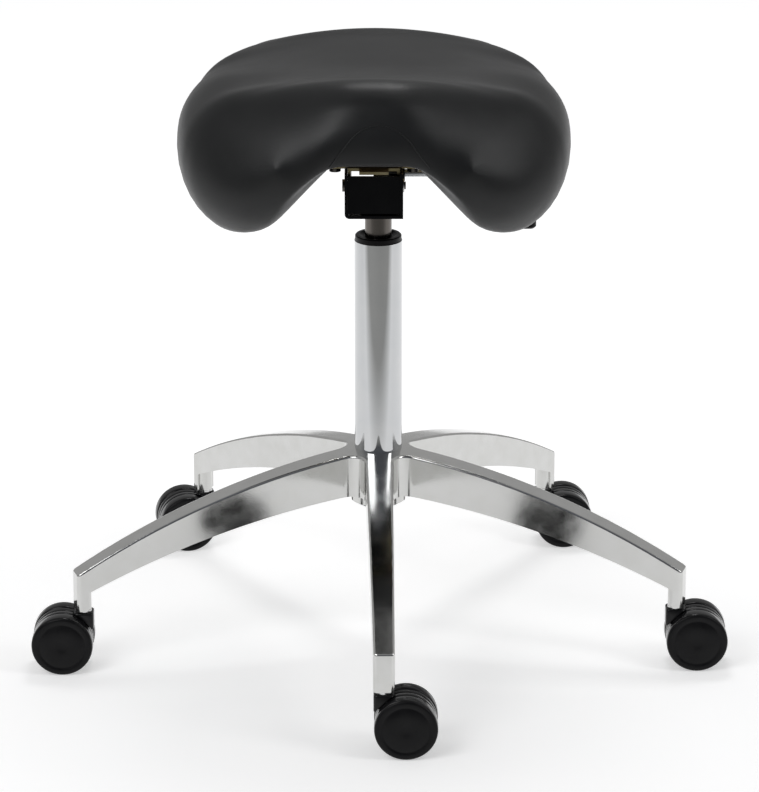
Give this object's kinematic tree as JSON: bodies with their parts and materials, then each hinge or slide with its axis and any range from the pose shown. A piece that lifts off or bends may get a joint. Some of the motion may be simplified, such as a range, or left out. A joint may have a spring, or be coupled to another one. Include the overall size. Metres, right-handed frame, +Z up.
{
  "type": "saddle stool",
  "caption": "Saddle stool: moulded saddle seat on a tilting, height-adjustable gas lift with hand levers, over a polished star base on swivelling twin-wheel castors.",
  "frame": {"origin": "on the floor under the column's axis", "axes": "+Z up along the column; the seat's front, its pommel, faces -Y; +X to the right seen from the front"},
  "size_m": [0.7271, 0.6456, 0.634],
  "materials": {
    "saddle_foam": "satin",
    "black_paint": "gloss",
    "yellow_zinc": "satin",
    "chrome": "mirror",
    "dark_steel": "satin",
    "aluminium": "polished",
    "black_nylon": "matte",
    "bright_steel": "satin",
    "piston_metal": "machined",
    "grey_rod": "satin",
    "buffer_rubber": "matte",
    "board_wood": "sawn plywood"
  },
  "bodies": {
    "base": {"star_base": "aluminium", "column_tube": "chrome", "guide_bush": "black_nylon", "foot_washer": "bright_steel", "lower_race": "bright_steel", "thrust_bearing": "bright_steel", "grip_rings": "bright_steel", "castor_stem_front": "bright_steel", "castor_stem_front_right": "bright_steel", "castor_stem_rear_right": "bright_steel", "castor_stem_rear_left": "bright_steel", "castor_stem_front_left": "bright_steel"},
    "spindle": {"piston_rod": "bright_steel", "piston": "piston_metal", "upper_race": "bright_steel", "rubber_buffer": "buffer_rubber", "retaining_clip": "bright_steel"},
    "lift": {"gas_cylinder": "dark_steel", "rod_seal": "buffer_rubber", "taper_socket": "black_paint", "mechanism_housing": "black_paint", "housing_front_plate": "black_paint", "pivot_pin": "dark_steel", "pivot_clip": "bright_steel", "lock_nut": "dark_steel", "lock_spacer": "bright_steel", "gas_lever_bush": "black_nylon"},
    "valve": {"valve_pin": "dark_steel"},
    "gas_lever": {"gas_lever": "grey_rod", "gas_lever_grip": "black_nylon"},
    "tilt_lever": {"tilt_lever": "grey_rod", "tilt_lever_grip": "black_nylon", "tilt_lock_bolt": "dark_steel"},
    "seat": {"seat_plate": "yellow_zinc", "seat_bolts": "dark_steel", "seat_board": "board_wood", "tee_nuts": "bright_steel", "seat_cushion": "saddle_foam", "pivot_sleeve": "bright_steel"},
    "castor_front": {"castor_hood_front": "black_nylon", "castor_axle_front": "bright_steel"},
    "wheel_a_front": {"castor_wheel_a_front": "black_nylon"},
    "wheel_b_front": {"castor_wheel_b_front": "black_nylon"},
    "castor_front_right": {"castor_hood_front_right": "black_nylon", "castor_axle_front_right": "bright_steel"},
    "wheel_a_front_right": {"castor_wheel_a_front_right": "black_nylon"},
    "wheel_b_front_right": {"castor_wheel_b_front_right": "black_nylon"},
    "castor_rear_right": {"castor_hood_rear_right": "black_nylon", "castor_axle_rear_right": "bright_steel"},
    "wheel_a_rear_right": {"castor_wheel_a_rear_right": "black_nylon"},
    "wheel_b_rear_right": {"castor_wheel_b_rear_right": "black_nylon"},
    "castor_rear_left": {"castor_hood_rear_left": "black_nylon", "castor_axle_rear_left": "bright_steel"},
    "wheel_a_rear_left": {"castor_wheel_a_rear_left": "black_nylon"},
    "wheel_b_rear_left": {"castor_wheel_b_rear_left": "black_nylon"},
    "castor_front_left": {"castor_hood_front_left": "black_nylon", "castor_axle_front_left": "bright_steel"},
    "wheel_a_front_left": {"castor_wheel_a_front_left": "black_nylon"},
    "wheel_b_front_left": {"castor_wheel_b_front_left": "black_nylon"}
  },
  "joints": [
    {"name": "seat_swivel", "type": "hinge", "parent": "base", "child": "spindle", "pos_m": [0, 0, 0.152], "axis": [0, 0, 1], "continuous": true},
    {"name": "height_slide", "type": "slide", "parent": "spindle", "child": "lift", "axis": [0, 0, 1], "range_m": [0, 0.19]},
    {"name": "seat_tilt", "type": "hinge", "parent": "lift", "child": "seat", "pos_m": [-0.0045, -0.038, 0.505], "axis": [1, 0, 0], "range_deg": [0, 10]},
    {"name": "gas_lever_pull", "type": "hinge", "parent": "lift", "child": "gas_lever", "pos_m": [0.024, 0, 0.5078], "axis": [0, -1, 0], "range_deg": [0, 6], "stiffness_Nm_per_rad": 2, "springref_deg": -5.73},
    {"name": "valve_press", "type": "slide", "parent": "lift", "child": "valve", "axis": [0, 0, -1], "range_m": [0, 0.0026]},
    {"name": "tilt_lock_turn", "type": "hinge", "parent": "lift", "child": "tilt_lever", "pos_m": [-0.0045, 0.056, 0.51], "axis": [1, 0, 0], "range_deg": [0, 35]},
    {"name": "castor_swivel_front", "type": "hinge", "parent": "base", "child": "castor_front", "pos_m": [0.00568, -0.32545, 0.06], "axis": [0, 0, 1], "continuous": true},
    {"name": "wheel_spin_a_front", "type": "hinge", "parent": "castor_front", "child": "wheel_a_front", "pos_m": [0.02768, -0.32545, 0.032], "axis": [0, 1, 0], "continuous": true},
    {"name": "wheel_spin_b_front", "type": "hinge", "parent": "castor_front", "child": "wheel_b_front", "pos_m": [0.02768, -0.32545, 0.032], "axis": [0, 1, 0], "continuous": true},
    {"name": "castor_swivel_front_right", "type": "hinge", "parent": "base", "child": "castor_front_right", "pos_m": [0.31128, -0.09517, 0.06], "axis": [0, 0, 1], "continuous": true},
    {"name": "wheel_spin_a_front_right", "type": "hinge", "parent": "castor_front_right", "child": "wheel_a_front_right", "pos_m": [0.33328, -0.09517, 0.032], "axis": [0, 1, 0], "continuous": true},
    {"name": "wheel_spin_b_front_right", "type": "hinge", "parent": "castor_front_right", "child": "wheel_b_front_right", "pos_m": [0.33328, -0.09517, 0.032], "axis": [0, 1, 0], "continuous": true},
    {"name": "castor_swivel_rear_right", "type": "hinge", "parent": "base", "child": "castor_rear_right", "pos_m": [0.1867, 0.26663, 0.06], "axis": [0, 0, 1], "continuous": true},
    {"name": "wheel_spin_a_rear_right", "type": "hinge", "parent": "castor_rear_right", "child": "wheel_a_rear_right", "pos_m": [0.20867, 0.26778, 0.032], "axis": [-0.0523, 0.9986, 0], "continuous": true},
    {"name": "wheel_spin_b_rear_right", "type": "hinge", "parent": "castor_rear_right", "child": "wheel_b_rear_right", "pos_m": [0.20867, 0.26778, 0.032], "axis": [-0.0523, 0.9986, 0], "continuous": true},
    {"name": "castor_swivel_rear_left", "type": "hinge", "parent": "base", "child": "castor_rear_left", "pos_m": [-0.19589, 0.25996, 0.06], "axis": [0, 0, 1], "continuous": true},
    {"name": "wheel_spin_a_rear_left", "type": "hinge", "parent": "castor_rear_left", "child": "wheel_a_rear_left", "pos_m": [-0.21749, 0.25576, 0.032], "axis": [0.1908, -0.9816, 0], "continuous": true},
    {"name": "wheel_spin_b_rear_left", "type": "hinge", "parent": "castor_rear_left", "child": "wheel_b_rear_left", "pos_m": [-0.21749, 0.25576, 0.032], "axis": [0.1908, -0.9816, 0], "continuous": true},
    {"name": "castor_swivel_front_left", "type": "hinge", "parent": "base", "child": "castor_front_left", "pos_m": [-0.30777, -0.10597, 0.06], "axis": [0, 0, 1], "continuous": true},
    {"name": "wheel_spin_a_front_left", "type": "hinge", "parent": "castor_front_left", "child": "wheel_a_front_left", "pos_m": [-0.32977, -0.10597, 0.032], "axis": [0, -1, 0], "continuous": true},
    {"name": "wheel_spin_b_front_left", "type": "hinge", "parent": "castor_front_left", "child": "wheel_b_front_left", "pos_m": [-0.32977, -0.10597, 0.032], "axis": [0, -1, 0], "continuous": true}
  ],
  "couplings": [
    {"joint": "valve_press", "follows": "gas_lever_pull", "m_per_rad": 0.024}
  ]
}
